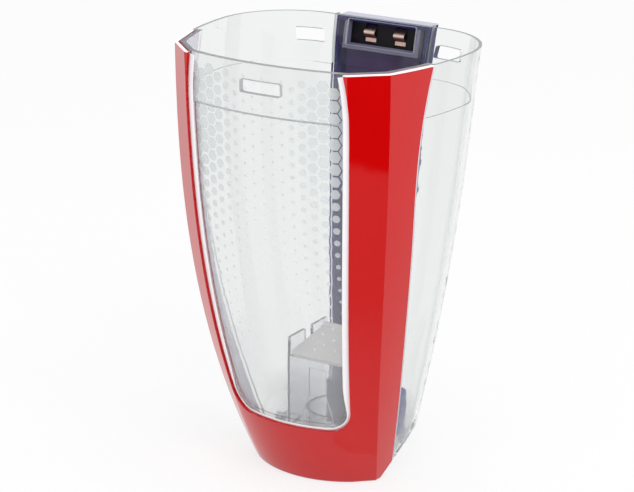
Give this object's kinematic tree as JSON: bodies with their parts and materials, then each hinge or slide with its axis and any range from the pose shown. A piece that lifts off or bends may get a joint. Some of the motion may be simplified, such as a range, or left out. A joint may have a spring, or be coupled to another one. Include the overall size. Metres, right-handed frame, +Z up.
{
  "type": "cyclone dust bin",
  "caption": "Clear tapered dust cup of a stick vacuum with a red creased front frame, a dark contact rail on its back and a hinged flap over its inlet.",
  "frame": {"origin": "middle of the bounding box in plan, on the surface the bin stands on", "axes": "+Z up along the bin's height, -Y to the front with the red frame and the window, +X to the right of someone who looks at the back"},
  "size_m": [0.14, 0.119, 0.214],
  "materials": {
    "clear_plastic": "clear moulded styrene, polished",
    "red_plastic": "glossy red moulding",
    "rail_plastic": "dark blue-black moulding",
    "contact_plastic": "black moulding",
    "flap_plastic": "milky translucent moulding",
    "seal_rubber": "soft black rubber",
    "contact_copper": "bare copper alloy",
    "screw_steel": "plain steel"
  },
  "bodies": {
    "bin": {"dust_cup": "clear_plastic", "inlet_hood": "clear_plastic", "front_frame": "red_plastic", "rail_housing": "rail_plastic", "contact_block": "contact_plastic", "lower_contact_block": "contact_plastic", "inlet_seal": "seal_rubber", "contact_gasket": "seal_rubber", "upper_contact_left": "contact_copper", "upper_contact_right": "contact_copper", "busbar_left": "contact_copper", "busbar_right": "contact_copper", "lower_contact_left": "contact_copper", "lower_contact_right": "contact_copper", "flap_pin": "screw_steel", "hood_screws": "screw_steel", "rail_screws": "screw_steel"},
    "flap": {"inlet_flap": "flap_plastic"}
  },
  "joints": [
    {"name": "flap_hinge", "type": "hinge", "parent": "bin", "child": "flap", "pos_m": [0, 0.02175, 0.06], "axis": [-1, 0, 0], "range_deg": [0, 75]}
  ]
}
